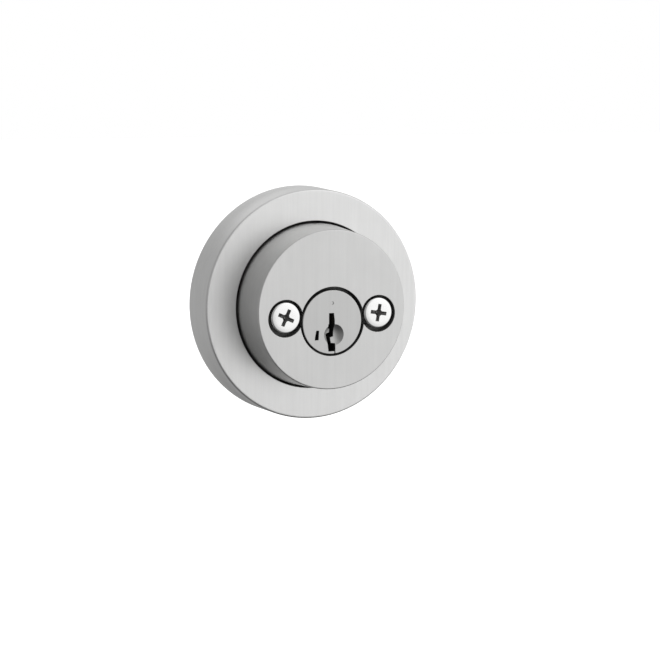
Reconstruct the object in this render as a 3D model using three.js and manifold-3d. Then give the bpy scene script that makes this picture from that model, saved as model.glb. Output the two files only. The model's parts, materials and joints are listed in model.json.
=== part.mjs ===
// Keyed trim of a double-cylinder deadbolt: round rose, proud cylinder housing, rekeyable
// sidebar cylinder, torque blade and through screws.
//
// Millimetres, +Z up. The origin is where the plug's axis crosses the face of the door. The
// trim stands out from the door towards -Y, and the blade and the screws run into the door
// along +Y. Heights that stand out from the door are called "out": y = -out.

import * as THREE from "three";
import { mergeVertices } from "three/addons/utils/BufferGeometryUtils.js";
import Module from "manifold-3d";

const wasm = await Module();
wasm.setup();

// ---------------------------------------------------------------- driving dimensions

// Trim
const ROSE_DIAMETER = 65;
const ROSE_HEIGHT = 12;
const ROSE_RISE = 3.4; // the rose's centre above the plug's axis
const ROSE_DRAFT = 0.4; // the side leans in by this much from back to front
const ROSE_WALL = 1.6;
const ROSE_EDGE = 0.5;
const ROSE_HOLE_RADIUS = 23.35;
const PROJECTION = 24.2; // the housing's face above the door
const HOUSING_FRONT_RADIUS = 21.9;
const HOUSING_BASE_RADIUS = 23.1;
const HOUSING_EDGE = 0.4;
const HOUSING_WALL = 2.5;
const HOUSING_FLANGE_RADIUS = 29.2;
const FACE_HOLE_RADIUS = 9.5; // the opening around the plug
const FACE_HOLE_RISE = 0.2; // its centre above the plug's axis

// Mounting
const SCREW_X = 13.85;
const SCREW_Z = 1.9;
const SCREW_SHANK_RADIUS = 2.05;
const SCREW_LENGTH = 57.2; // 2 1/4 in under the head
const SCREW_HEAD_RADIUS = 4.33;
const SCREW_HEAD_PROUD = 0.25;
const COUNTERBORE_RADIUS = 5.1;
const COUNTERBORE_DROP = 0.23; // the heads bear this far above their counterbores' centres
const PLATE_RADIUS = 29.8;
const PLATE_THICKNESS = 1.7;

// Cylinder
const BODY_RADIUS = 11.2;
const BODY_BORE_RADIUS = 8.45;
const PLUG_FACE_RADIUS = 8.8;
const PLUG_RADIUS = 8.3;
const PLUG_FACE_OUT = 24.0;
const PLUG_BACK_Y = 4.0;
const TUMBLERS = 5;
const FIRST_TUMBLER = 6.3; // from the plug's face
const TUMBLER_PITCH = 3.81;
const TUMBLER_TRAVEL = 2.9;
const PIN_X = -0.35;
const PIN_RADIUS = 1.25;
const CARRIER_TRAVEL = 1.9;
const BLADE_WIDTH = 6.2;
const BLADE_THICKNESS = 2.2;
const BLADE_END_Y = 32;

// Facets round a full turn, by size
const FINE = 56;
const MEDIUM = 32;
const SMALL = 18;
const TINY = 12;

const FACE_INSIDE = PROJECTION - HOUSING_WALL - 0.3; // the inner side of the housing's face
const SCREW_SEAT = FACE_INSIDE; // where the screw heads bear
const PLATE_BACK = 0.1;
const PLATE_FRONT = PLATE_BACK + PLATE_THICKNESS;
const TUMBLER_OUT = Array.from(
  { length: TUMBLERS },
  (_, i) => PLUG_FACE_OUT - FIRST_TUMBLER - i * TUMBLER_PITCH,
);

// ---------------------------------------------------------------- solids

// A closed geometry as a manifold-3d solid, turned face out if its profile ran backwards.
function solid(geometry) {
  const bare = new THREE.BufferGeometry();
  bare.setAttribute("position", geometry.getAttribute("position"));
  bare.setIndex(geometry.index);
  const merged = mergeVertices(bare, 1e-4);
  const corners = [];
  for (let i = 0; i < merged.index.count; i += 3) {
    const [a, b, c] = [0, 1, 2].map((k) => merged.index.getX(i + k));
    if (a !== b && b !== c && c !== a) corners.push(a, b, c);
  }
  const build = (triangles) =>
    new wasm.Manifold(
      new wasm.Mesh({
        numProp: 3,
        vertProperties: new Float32Array(merged.attributes.position.array),
        triVerts: new Uint32Array(triangles),
      }),
    );
  const made = build(corners);
  if (made.volume() > 0) return made;
  for (let i = 0; i < corners.length; i += 3)
    [corners[i + 1], corners[i + 2]] = [corners[i + 2], corners[i + 1]];
  return build(corners);
}

const join = (first, ...others) => others.reduce((a, b) => a.add(b), first);
const cut = (first, ...others) => others.reduce((a, b) => a.subtract(b), first);

// A turned shape about a line along Y. The profile is [radius, out] pairs; it closes on
// itself, or starts and ends on the axis.
function turned(profile, { x = 0, z = 0, segments = MEDIUM } = {}) {
  const onAxis = profile[0][0] === 0 && profile.at(-1)[0] === 0;
  const points = (onAxis ? profile : [...profile, profile[0]]).map(
    ([radius, out]) => new THREE.Vector2(radius, -out),
  );
  return solid(new THREE.LatheGeometry(points, segments).translate(x, 0, z));
}

const rod = (radius, outLow, outHigh, x = 0, z = 0, segments = MEDIUM) =>
  solid(
    new THREE.CylinderGeometry(radius, radius, outHigh - outLow, segments).translate(
      x,
      -(outLow + outHigh) / 2,
      z,
    ),
  );

// A box from ranges along X, out and Z.
const block = ([x0, x1], [out0, out1], [z0, z1]) =>
  solid(
    new THREE.BoxGeometry(x1 - x0, out1 - out0, z1 - z0).translate(
      (x0 + x1) / 2,
      -(out0 + out1) / 2,
      (z0 + z1) / 2,
    ),
  );

// An outline drawn in X and Z, run from outLow to outHigh.
function prism(shape, outLow, outHigh, segments = TINY) {
  const outline = Array.isArray(shape)
    ? new THREE.Shape(shape.map(([x, z]) => new THREE.Vector2(x, z)))
    : shape;
  const geometry = new THREE.ExtrudeGeometry(outline, {
    depth: outHigh - outLow,
    bevelEnabled: false,
    curveSegments: segments,
  });
  return solid(geometry.rotateX(Math.PI / 2).translate(0, -outLow, 0));
}

// A turned shape about a vertical line, from [radius, height] pairs.
const turnedUp = (profile, x, y, segments = TINY) =>
  solid(
    new THREE.LatheGeometry(
      profile.map(([radius, height]) => new THREE.Vector2(radius, height)),
      segments,
    )
      .rotateX(Math.PI / 2)
      .translate(x, y, 0),
  );

const rodAlongX = (radius, [x0, x1], out, z, segments = TINY) =>
  solid(
    new THREE.CylinderGeometry(radius, radius, x1 - x0, segments)
      .rotateZ(Math.PI / 2)
      .translate((x0 + x1) / 2, -out, z),
  );

// A ring sector between two clockwise angles from the top, in degrees.
function sector(inner, outer, from, to) {
  const turn = (degrees) => THREE.MathUtils.degToRad(90 - degrees);
  const shape = new THREE.Shape();
  shape.absarc(0, 0, outer, turn(from), turn(to), true);
  shape.absarc(0, 0, inner, turn(to), turn(from), false);
  shape.closePath();
  return shape;
}

// A helical spring from one point to another.
class Helix extends THREE.Curve {
  constructor(start, end, radius, turns) {
    super();
    Object.assign(this, { start, end, radius, turns });
    this.along = end.clone().sub(start).normalize();
    const other = Math.abs(this.along.x) > 0.5 ? [0, 1, 0] : [1, 0, 0];
    this.side = new THREE.Vector3(...other);
    this.up = this.along.clone().cross(this.side);
  }
  getPoint(t, target = new THREE.Vector3()) {
    const angle = 2 * Math.PI * this.turns * t;
    return target
      .copy(this.start)
      .lerp(this.end, t)
      .addScaledVector(this.side, this.radius * Math.cos(angle))
      .addScaledVector(this.up, this.radius * Math.sin(angle));
  }
}

function spring(start, end, radius, wire, turns) {
  const section = new THREE.Shape();
  const corners = 3;
  for (let i = 0; i < corners; i++) {
    const angle = (2 * Math.PI * i) / corners;
    const corner = [wire * Math.cos(angle), wire * Math.sin(angle)];
    if (i) section.lineTo(...corner);
    else section.moveTo(...corner);
  }
  section.closePath();
  const path = new Helix(new THREE.Vector3(...start), new THREE.Vector3(...end), radius, turns);
  return solid(new THREE.ExtrudeGeometry(section, { steps: turns * 8, extrudePath: path }));
}

// ---------------------------------------------------------------- materials

const finish = (color, roughness, metalness = 1) =>
  new THREE.MeshStandardMaterial({ color, roughness, metalness });

const SATIN = finish(0xc9c9c7, 0.36);
const PLUG_SATIN = finish(0xb9b9b6, 0.42);
const BRIGHT_PLATE = finish(0xe6e6e4, 0.16);
const ZINC_PLATE = finish(0xb4b7b8, 0.34);
const DIE_CAST = finish(0x9a9b9b, 0.5);
const BRASS = finish(0xc2a060, 0.32);
const SPRING_STEEL = finish(0x8f9193, 0.3);
const BLADE_STEEL = finish(0xa7a9aa, 0.38);

// ---------------------------------------------------------------- the part as a group

const lock = new THREE.Group();
lock.name = "deadbolt_keyed_trim";

function add(name, shape, material) {
  const { numProp, vertProperties, triVerts } = shape.getMesh();
  const count = vertProperties.length / numProp;
  const position = new Float32Array(count * 3);
  for (let i = 0; i < count; i++)
    position.set(vertProperties.subarray(i * numProp, i * numProp + 3), i * 3);
  const geometry = new THREE.BufferGeometry();
  geometry.setAttribute("position", new THREE.BufferAttribute(position, 3));
  geometry.setIndex(new THREE.BufferAttribute(new Uint32Array(triVerts), 1));
  geometry.computeVertexNormals();
  const mesh = new THREE.Mesh(geometry, material);
  mesh.name = name;
  lock.add(mesh);
}

// ---------------------------------------------------------------- rose

const ROSE_SCREW_CIRCLE = 26.4;
const ROSE_SCREWS = 3;
const ROSE_SCREW_RADIUS = 1.15;
const ROSE_SCREW_HEAD_RADIUS = 2.2;
const ROSE_BOSS_RADIUS = 2.6;
const ROSE_BOSS_END = 7.6;

// Centres of the three screws that hold the rose to the housing's flange.
const roseScrewAt = (i) => {
  const angle = Math.PI / 2 + (2 * Math.PI * i) / ROSE_SCREWS;
  return [
    ROSE_SCREW_CIRCLE * Math.cos(angle),
    ROSE_RISE + ROSE_SCREW_CIRCLE * Math.sin(angle),
  ];
};

// A pressed cup: side with a little draft, rounded front edge, flat face with a large hole.
function rose() {
  const outer = ROSE_DIAMETER / 2;
  const front = outer - ROSE_DRAFT;
  const inside = ROSE_HEIGHT - ROSE_WALL;
  const edge = [0, 30, 60, 90].map((degrees) => {
    const a = THREE.MathUtils.degToRad(degrees);
    return [
      front - ROSE_EDGE + ROSE_EDGE * Math.cos(a),
      ROSE_HEIGHT - ROSE_EDGE + ROSE_EDGE * Math.sin(a),
    ];
  });
  const shell = turned(
    [
      [outer, 0],
      ...edge,
      [ROSE_HOLE_RADIUS + 0.2, ROSE_HEIGHT],
      [ROSE_HOLE_RADIUS, ROSE_HEIGHT - 0.2],
      [ROSE_HOLE_RADIUS, inside],
      [front - ROSE_WALL, inside],
      [outer - ROSE_WALL, 0],
    ],
    { z: ROSE_RISE, segments: FINE },
  );
  const bosses = [];
  const threads = [];
  for (let i = 0; i < ROSE_SCREWS; i++) {
    const [x, z] = roseScrewAt(i);
    bosses.push(rod(ROSE_BOSS_RADIUS, ROSE_BOSS_END, inside + 0.4, x, z, SMALL));
    threads.push(rod(ROSE_SCREW_RADIUS + 0.15, ROSE_BOSS_END - 1, inside + 0.2, x, z, TINY));
  }
  return cut(join(shell, ...bosses), ...threads);
}

add("rose", rose(), SATIN);

// ---------------------------------------------------------------- cylinder housing

const FLANGE_FRONT = 7.4;
const FLANGE_BACK = 5.4;
const HOUSING_INNER_RADIUS = 20.6;
const HOUSING_FOOT = PLATE_FRONT + 0.1; // stands on the mounting plate
const POCKET_RADIUS = BODY_RADIUS + 0.2;
const BODY_FLANGE_RADIUS = 12.8;
const BODY_FLANGE = [2.0, 4.1];
const POCKET_BACK = 4.3;
const PLATE_SCREW_Z = 17.6; // above and below the rose's centre
const PLATE_SCREW_RADIUS = 1.1;
const PLATE_SCREW_HEAD_RADIUS = 2.75;
const PLATE_SCREW_END = 7;
const PLATE_BOSS_RADIUS = 3.3;
const SCREW_BOSS_RADIUS = 7;
const LUG_HALF_WIDTH = 1.5;
const LUG_HEIGHTS = [12, 14.8];

// A die casting: tapered wall and face, a flange behind the rose, a pocket for the lock
// cylinder, and two counterbored bosses for the through screws.
function housing() {
  const wall = turned(
    [
      [0, PROJECTION],
      [HOUSING_FRONT_RADIUS - HOUSING_EDGE, PROJECTION],
      [HOUSING_FRONT_RADIUS - 0.12, PROJECTION - 0.12],
      [HOUSING_FRONT_RADIUS, PROJECTION - HOUSING_EDGE],
      [HOUSING_BASE_RADIUS, FLANGE_FRONT],
      [HOUSING_FLANGE_RADIUS, FLANGE_FRONT],
      [HOUSING_FLANGE_RADIUS, FLANGE_BACK],
      [HOUSING_BASE_RADIUS, FLANGE_BACK],
      [HOUSING_BASE_RADIUS, HOUSING_FOOT],
      [HOUSING_INNER_RADIUS, HOUSING_FOOT],
      [HOUSING_INNER_RADIUS, FACE_INSIDE],
      [0, FACE_INSIDE],
    ],
    { z: ROSE_RISE, segments: FINE },
  );
  const top = FACE_INSIDE + 0.4;
  const plateScrewAt = [ROSE_RISE + PLATE_SCREW_Z, ROSE_RISE - PLATE_SCREW_Z];
  const counterboreZ = SCREW_Z - COUNTERBORE_DROP;
  const bosses = [
    rod(POCKET_RADIUS + 1.8, POCKET_BACK, top, 0, 0, MEDIUM),
    ...[-1, 1].map((side) =>
      rod(SCREW_BOSS_RADIUS, HOUSING_FOOT, top, side * SCREW_X, SCREW_Z, SMALL),
    ),
    ...plateScrewAt.map((z) => rod(PLATE_BOSS_RADIUS, HOUSING_FOOT, top, 0, z, SMALL)),
    block(
      [0.1 - PLATE_BOSS_RADIUS, PLATE_BOSS_RADIUS - 0.1],
      [HOUSING_FOOT, 9],
      [LUG_HEIGHTS[0] + 0.4, plateScrewAt[0]],
    ),
  ];
  const hollows = [
    rod(POCKET_RADIUS, 0, FACE_INSIDE + 0.1, 0, 0, MEDIUM),
    rod(BODY_FLANGE_RADIUS + 0.3, 0, POCKET_BACK, 0, 0, MEDIUM),
    rod(FACE_HOLE_RADIUS, FACE_INSIDE - 1, PROJECTION + 1, 0, FACE_HOLE_RISE, FINE),
    ...[-1, 1].flatMap((side) => [
      rod(COUNTERBORE_RADIUS, SCREW_SEAT, PROJECTION + 1, side * SCREW_X, counterboreZ, MEDIUM),
      rod(SCREW_SHANK_RADIUS + 0.35, 0, PROJECTION, side * SCREW_X, SCREW_Z, SMALL),
    ]),
    ...plateScrewAt.map((z) =>
      rod(PLATE_SCREW_RADIUS + 0.15, 0, PLATE_SCREW_END + 1, 0, z, TINY),
    ),
    block(
      [-LUG_HALF_WIDTH - 0.25, LUG_HALF_WIDTH + 0.25],
      [0, POCKET_BACK],
      [LUG_HEIGHTS[0], LUG_HEIGHTS[1] + 0.4],
    ),
  ];
  for (let i = 0; i < ROSE_SCREWS; i++) {
    const centre = roseScrewAt(i);
    hollows.push(
      rod(ROSE_SCREW_RADIUS + 0.35, FLANGE_BACK - 1, FLANGE_FRONT + 1, ...centre, TINY),
    );
  }
  return cut(join(wall, ...bosses), ...hollows);
}

add("cylinder_housing", housing(), SATIN);

// ---------------------------------------------------------------- mounting hardware

// Steel disc between the housing's foot and the door.
function mountingPlate() {
  const disc = rod(PLATE_RADIUS, PLATE_BACK, PLATE_FRONT, 0, ROSE_RISE, FINE);
  const holes = [
    rod(BODY_RADIUS + 0.4, -1, 3, 0, 0, MEDIUM),
    ...[-1, 1].map((side) =>
      rod(SCREW_SHANK_RADIUS + 0.55, -1, 3, side * SCREW_X, SCREW_Z, SMALL),
    ),
  ];
  for (const side of [-1, 1]) {
    const z = ROSE_RISE + side * PLATE_SCREW_Z;
    holes.push(
      turned(
        [
          [0, -1],
          [PLATE_SCREW_HEAD_RADIUS + 0.35, -1],
          [PLATE_SCREW_HEAD_RADIUS + 0.35, PLATE_BACK],
          [PLATE_SCREW_RADIUS + 0.4, PLATE_FRONT - 0.1],
          [PLATE_SCREW_RADIUS + 0.4, 3],
          [0, 3],
        ],
        { z, segments: SMALL },
      ),
    );
  }
  return cut(disc, ...holes);
}

add("mounting_plate", mountingPlate(), ZINC_PLATE);

const CROSS = { span: 4.8, depth: 1.1, width: 0.95 };

// Pan-head machine screw with a cross recess turned clockwise by so many degrees.
function throughScrew(side, recessTurn) {
  const x = side * SCREW_X;
  const bottom = SCREW_SEAT + 0.1;
  const top = PROJECTION + SCREW_HEAD_PROUD;
  const end = bottom - SCREW_LENGTH;
  const shape = turned(
    [
      [0, top],
      [SCREW_HEAD_RADIUS - 0.8, top],
      [SCREW_HEAD_RADIUS - 0.2, top - 0.2],
      [SCREW_HEAD_RADIUS, top - 0.65],
      [SCREW_HEAD_RADIUS, bottom],
      [SCREW_SHANK_RADIUS, bottom],
      [SCREW_SHANK_RADIUS, end + 0.8],
      [SCREW_SHANK_RADIUS - 0.6, end],
      [0, end],
    ],
    { x, z: SCREW_Z, segments: SMALL },
  );
  const wing = (turn) =>
    solid(
      new THREE.BoxGeometry(CROSS.span, 2 * CROSS.depth, CROSS.width)
        .rotateY(THREE.MathUtils.degToRad(turn))
        .translate(x, -top, SCREW_Z),
    );
  return cut(shape, join(wing(recessTurn), wing(recessTurn + 90)));
}

add("mounting_screw_left", throughScrew(-1, 25), BRIGHT_PLATE);
add("mounting_screw_right", throughScrew(1, 10), BRIGHT_PLATE);

// Slotted screws from behind the housing's flange into the rose's bosses.
for (let i = 0; i < ROSE_SCREWS; i++) {
  const [x, z] = roseScrewAt(i);
  const head = FLANGE_BACK - 0.1;
  const shape = turned(
    [
      [0, head - 1.5],
      [ROSE_SCREW_HEAD_RADIUS - 0.7, head - 1.5],
      [ROSE_SCREW_HEAD_RADIUS, head - 1],
      [ROSE_SCREW_HEAD_RADIUS, head],
      [ROSE_SCREW_RADIUS, head],
      [ROSE_SCREW_RADIUS, ROSE_HEIGHT - ROSE_WALL - 0.2],
      [0, ROSE_HEIGHT - ROSE_WALL - 0.2],
    ],
    { x, z, segments: TINY },
  );
  const slot = block([x - 3, x + 3], [head - 2, head - 0.9], [z - 0.3, z + 0.3]);
  add(`rose_screw_${i + 1}`, cut(shape, slot), ZINC_PLATE);
}

// Countersunk screws from behind the plate into the housing's foot.
for (const [place, side] of Object.entries({ top: 1, bottom: -1 })) {
  const z = ROSE_RISE + side * PLATE_SCREW_Z;
  const shape = turned(
    [
      [0, PLATE_BACK + 0.05],
      [PLATE_SCREW_HEAD_RADIUS, PLATE_BACK + 0.05],
      [PLATE_SCREW_RADIUS, PLATE_FRONT - 0.05],
      [PLATE_SCREW_RADIUS, PLATE_SCREW_END],
      [0, PLATE_SCREW_END],
    ],
    { z, segments: TINY },
  );
  const slot = block([-3, 3], [-1, PLATE_BACK + 0.65], [z - 0.3, z + 0.3]);
  add(`plate_screw_${place}`, cut(shape, slot), ZINC_PLATE);
}

// ---------------------------------------------------------------- lock cylinder body

const BODY_FRONT = SCREW_SEAT - 0.3;
const BODY_BACK = -1.5;
const GROOVE_REACH = 9.4;
const GROOVE_HALF_WIDTH = 1.15;

// A tube with a back flange, a lug that stops it turning, and the sidebar's groove.
function cylinderBody() {
  const tube = turned(
    [
      [BODY_BORE_RADIUS, BODY_BACK],
      [BODY_RADIUS, BODY_BACK],
      [BODY_RADIUS, BODY_FLANGE[0]],
      [BODY_FLANGE_RADIUS, BODY_FLANGE[0]],
      [BODY_FLANGE_RADIUS, BODY_FLANGE[1]],
      [BODY_RADIUS, BODY_FLANGE[1]],
      [BODY_RADIUS, BODY_FRONT],
      [BODY_BORE_RADIUS, BODY_FRONT],
    ].reverse(),
    { segments: MEDIUM },
  );
  const lug = block([-LUG_HALF_WIDTH, LUG_HALF_WIDTH], BODY_FLANGE, LUG_HEIGHTS);
  const groove = block(
    [-GROOVE_REACH, 0.45 - BODY_BORE_RADIUS],
    [BODY_BACK - 1, BODY_FRONT - 0.9],
    [-GROOVE_HALF_WIDTH, GROOVE_HALF_WIDTH],
  );
  const notches = [-1, 1].map((side) =>
    rod(SCREW_SHANK_RADIUS + 0.5, 1, 5, side * SCREW_X, SCREW_Z, SMALL),
  );
  return cut(join(tube, lug), groove, ...notches);
}

add("cylinder_body", cylinderBody(), DIE_CAST);

// ---------------------------------------------------------------- plug

const PLUG_FLANGE_BACK = BODY_FRONT + 0.2;
const CLIP_GROOVE = [-2.7, -1.8];
const CLIP_GROOVE_RADIUS = 7.5;
const CARRIER = { x: [-8.3, -2.25], out: [0.75, 19.9], z: [-4.7, 6.6], radius: 8.15 };
const CAVITY = {
  x: [-9.5, CARRIER.x[1] + 0.2],
  out: [CARRIER.out[0] - CARRIER_TRAVEL - 0.25, CARRIER.out[1] + 0.3],
  z: [CARRIER.z[0] - 0.2, CARRIER.z[1] + 0.2],
};
const CHAMBER_FLOOR = -1.9;
const COVER_FLOOR = 7.3;
const COVER = { half: 1.45, out: [0.75, 19.45], thickness: 0.55 };
const DOG = { inner: 2.8, outer: 6.4, halfAngle: 18, end: -6.4 };
const CAP_SCREW_Z = 4.85;
const CAP_SCREW_RADIUS = 0.6;
const RACK = { left: -4.8, right: -2.45, bottom: -3.1, top: 2.6, half: 0.7 };
const CARRIER_SPRING = { x: -4.4, z: 2.4, radius: 0.85 };

// Keyway outline seen from the front, clockwise from its top left corner.
const KEYWAY = [
  [-0.98, 2.5],
  [0.5, 2.5],
  [0.75, 0.6],
  [0.75, -4.1],
  [-0.2, -4.35],
  [-0.2, -5.75],
  [0.95, -5.9],
  [0.95, -8.05],
  [-1.1, -8.05],
  [-1.8, -3.2],
  [-0.62, -2.85],
  [-0.62, -1.85],
  [-1.2, -1.75],
  [-1.2, -0.55],
  [-0.98, -0.5],
];
const DIMPLE = { x: 0.5, z: -3.5, radius: 2.93, depth: 1.1 };
const TOOL_SLOT = [
  [-4.75, -2.15],
  [-3.95, -2.15],
  [-4.1, -4.75],
  [-5.15, -4.75],
  [-5.15, -4.1],
];
const SLIT_X = [0.79, 0.95];
const INDEX_DOT = { z: 5.2, radius: 0.45, depth: 0.25 };
const GUARD_PIN_OUT = 20;
const GUARD_PIN_RADIUS = 0.75;
const GUARD_PINS = [
  [1.2, 7.7],
  [4.2, 6.2],
]; // height and outer end of each

// The round finger recess around the keyway, as a shallow cap of a sphere.
function dimple() {
  const ball = (DIMPLE.radius ** 2 + DIMPLE.depth ** 2) / (2 * DIMPLE.depth);
  return solid(
    new THREE.SphereGeometry(ball, MEDIUM, SMALL).translate(
      DIMPLE.x,
      -(PLUG_FACE_OUT + ball - DIMPLE.depth),
      DIMPLE.z,
    ),
  );
}

function plug() {
  const turning = turned(
    [
      [0, PLUG_FACE_OUT],
      [PLUG_FACE_RADIUS - 0.2, PLUG_FACE_OUT],
      [PLUG_FACE_RADIUS, PLUG_FACE_OUT - 0.2],
      [PLUG_FACE_RADIUS, PLUG_FLANGE_BACK],
      [PLUG_RADIUS, PLUG_FLANGE_BACK],
      [PLUG_RADIUS, CLIP_GROOVE[1]],
      [CLIP_GROOVE_RADIUS, CLIP_GROOVE[1]],
      [CLIP_GROOVE_RADIUS, CLIP_GROOVE[0]],
      [PLUG_RADIUS, CLIP_GROOVE[0]],
      [PLUG_RADIUS, -PLUG_BACK_Y],
      [0, -PLUG_BACK_Y],
    ],
    { segments: FINE },
  );
  const dogs = [0, 180].map((middle) =>
    prism(
      sector(DOG.inner, DOG.outer, middle - DOG.halfAngle, middle + DOG.halfAngle),
      DOG.end,
      0.5 - PLUG_BACK_Y,
      6,
    ),
  );
  const chambers = TUMBLER_OUT.flatMap((out) => [
    turnedUp(
      [
        [0, CHAMBER_FLOOR],
        [PIN_RADIUS + 0.15, CHAMBER_FLOOR],
        [PIN_RADIUS + 0.15, COVER_FLOOR + 0.1],
        [0, COVER_FLOOR + 0.1],
      ],
      PIN_X,
      -out,
    ),
    block([RACK.right + 0.05, -1.4], [out - RACK.half, out + RACK.half], [-1.5, 6.6]),
  ]);
  return cut(
    join(turning, ...dogs),
    prism(KEYWAY, 0.2, PLUG_FACE_OUT + 1),
    block(SLIT_X, [PLUG_FACE_OUT - 3, PLUG_FACE_OUT + 1], [-9.5, -7.9]),
    dimple(),
    rod(INDEX_DOT.radius, PLUG_FACE_OUT - INDEX_DOT.depth, 26, 0, INDEX_DOT.z, TINY),
    prism(TOOL_SLOT, CAVITY.out[1] - 0.2, PLUG_FACE_OUT + 1),
    block(CAVITY.x, CAVITY.out, CAVITY.z),
    rod(
      CARRIER_SPRING.radius + 0.25,
      -3,
      CAVITY.out[0] + 0.1,
      CARRIER_SPRING.x,
      CARRIER_SPRING.z,
      TINY,
    ),
    ...chambers,
    block(
      [PIN_X - COVER.half - 0.15, PIN_X + COVER.half + 0.15],
      [COVER.out[0] - 0.15, COVER.out[1] + 0.15],
      [COVER_FLOOR, 9],
    ),
    ...GUARD_PINS.map(([z]) => rodAlongX(GUARD_PIN_RADIUS + 0.15, [2.2, 9], GUARD_PIN_OUT, z)),
    ...[-1, 1].map((side) =>
      rod(CAP_SCREW_RADIUS + 0.15, -7, -2.9, 0, side * CAP_SCREW_Z, TINY),
    ),
  );
}

add("plug", plug(), PLUG_SATIN);

// Split ring that keeps the plug in the body.
const clipShape = sector(CLIP_GROOVE_RADIUS + 0.1, 10.3, 230, 490);
add("plug_clip", prism(clipShape, CLIP_GROOVE[0] + 0.1, CLIP_GROOVE[1] - 0.1), SPRING_STEEL);

// Strip that closes the pin chambers.
add(
  "pin_cover",
  block(
    [PIN_X - COVER.half, PIN_X + COVER.half],
    COVER.out,
    [COVER_FLOOR + 0.1, COVER_FLOOR + 0.1 + COVER.thickness],
  ),
  BRASS,
);

// Hard pins behind the plug's face, against drilling.
GUARD_PINS.forEach(([z, end], i) =>
  add(
    `drill_guard_pin_${i + 1}`,
    rodAlongX(GUARD_PIN_RADIUS, [2.4, end], GUARD_PIN_OUT, z),
    SPRING_STEEL,
  ),
);

// ---------------------------------------------------------------- tumblers

const PIN_BOTTOM = -1.7;
const PIN_TOP = 4.1;
const PIN_BORE_FLOOR = -0.4;

// Hollow key pin, with its spring inside.
const keyPin = (out) =>
  turnedUp(
    [
      [0, PIN_BOTTOM],
      [0.6, PIN_BOTTOM],
      [PIN_RADIUS, PIN_BOTTOM + 0.6],
      [PIN_RADIUS, PIN_TOP],
      [0.8, PIN_TOP],
      [0.8, PIN_BORE_FLOOR],
      [0, PIN_BORE_FLOOR],
    ],
    PIN_X,
    -out,
  );

const RACK_TEETH = 8;
const GATE_DEPTH = 0.9;
const GATE_HALF = 0.5;

// Toothed plate beside each pin. Its far edge has the gate that the sidebar enters, and the
// same gate again one full travel lower.
function rack(out) {
  const { left, right, bottom, top, half } = RACK;
  const gate = left + GATE_DEPTH;
  const outline = [
    [right - 0.4, bottom],
    ...Array.from({ length: RACK_TEETH }, (_, i) => {
      const z = bottom + 0.4 + (i * (top - bottom - 0.8)) / (RACK_TEETH - 1);
      return [
        [right - 0.35, z - 0.18],
        [right, z],
        [right - 0.35, z + 0.18],
      ];
    }).flat(),
    [right - 0.4, top],
    [left, top],
    [left, GATE_HALF],
    [gate, GATE_HALF],
    [gate, -GATE_HALF],
    [left, -GATE_HALF],
    [left, GATE_HALF - TUMBLER_TRAVEL],
    [gate, GATE_HALF - TUMBLER_TRAVEL],
    [gate, bottom],
  ];
  return prism(outline, out - half, out + half);
}

TUMBLER_OUT.forEach((out, i) => {
  add(`key_pin_${i + 1}`, keyPin(out), BRASS);
  add(
    `pin_spring_${i + 1}`,
    spring([PIN_X, -out, PIN_BORE_FLOOR + 0.2], [PIN_X, -out, COVER_FLOOR - 0.1], 0.52, 0.12, 6),
    SPRING_STEEL,
  );
  add(`rack_${i + 1}`, rack(out), BRASS);
});

// ---------------------------------------------------------------- rekey carrier

const SIDEBAR_OUT = [1.7, 18.6];
const SIDEBAR_HALF = 0.9;
const GROOVE_FLOOR = -4.95;
const SIDEBAR_SPRING_OUT = [
  (TUMBLER_OUT[0] + TUMBLER_OUT[1]) / 2,
  (TUMBLER_OUT[3] + TUMBLER_OUT[4]) / 2,
];

// Sliding block in the plug's side that holds the racks and the sidebar.
function carrier() {
  const round = rod(CARRIER.radius, ...CARRIER.out, 0, 0, MEDIUM);
  const slots = TUMBLER_OUT.map((out) =>
    block(
      [RACK.left - 0.2, -2],
      [out - RACK.half - 0.15, out + RACK.half + 0.15],
      [RACK.bottom - 0.2, RACK.top + TUMBLER_TRAVEL + 0.3],
    ),
  );
  const sidebarSlot = block(
    [-9, GROOVE_FLOOR],
    [SIDEBAR_OUT[0] - 0.4, SIDEBAR_OUT[1] + 0.4],
    [-SIDEBAR_HALF - 0.15, SIDEBAR_HALF + 0.15],
  );
  return cut(
    round.intersect(block(CARRIER.x, CARRIER.out, CARRIER.z)),
    sidebarSlot,
    ...slots,
    ...SIDEBAR_SPRING_OUT.map((out) => rodAlongX(0.6, [-5.2, -3.7], out, 0)),
  );
}

add("rekey_carrier", carrier(), DIE_CAST);
add(
  "carrier_spring",
  spring(
    [CARRIER_SPRING.x, -CARRIER.out[0] + 0.15, CARRIER_SPRING.z],
    [CARRIER_SPRING.x, 2.85, CARRIER_SPRING.z],
    CARRIER_SPRING.radius - 0.2,
    0.14,
    4,
  ),
  SPRING_STEEL,
);

const SIDEBAR_BACK = -6.6;
const SIDEBAR_NOSE = -8.05;

// Bar with one fin for each rack's gate.
function sidebar() {
  const bar = prism(
    [
      [SIDEBAR_NOSE, -0.35],
      [SIDEBAR_NOSE + 0.55, -SIDEBAR_HALF],
      [SIDEBAR_BACK, -SIDEBAR_HALF],
      [SIDEBAR_BACK, SIDEBAR_HALF],
      [SIDEBAR_NOSE + 0.55, SIDEBAR_HALF],
      [SIDEBAR_NOSE, 0.35],
    ],
    ...SIDEBAR_OUT,
  );
  const fins = TUMBLER_OUT.map((out) =>
    block([SIDEBAR_BACK - 0.2, -5.15], [out - 0.6, out + 0.6], [-0.32, 0.32]),
  );
  return join(bar, ...fins);
}

add("sidebar", sidebar(), BRASS);
SIDEBAR_SPRING_OUT.forEach((out, i) =>
  add(
    `sidebar_spring_${i + 1}`,
    spring([SIDEBAR_BACK + 0.15, -out, 0], [-3.85, -out, 0], 0.36, 0.1, 4),
    SPRING_STEEL,
  ),
);

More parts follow.
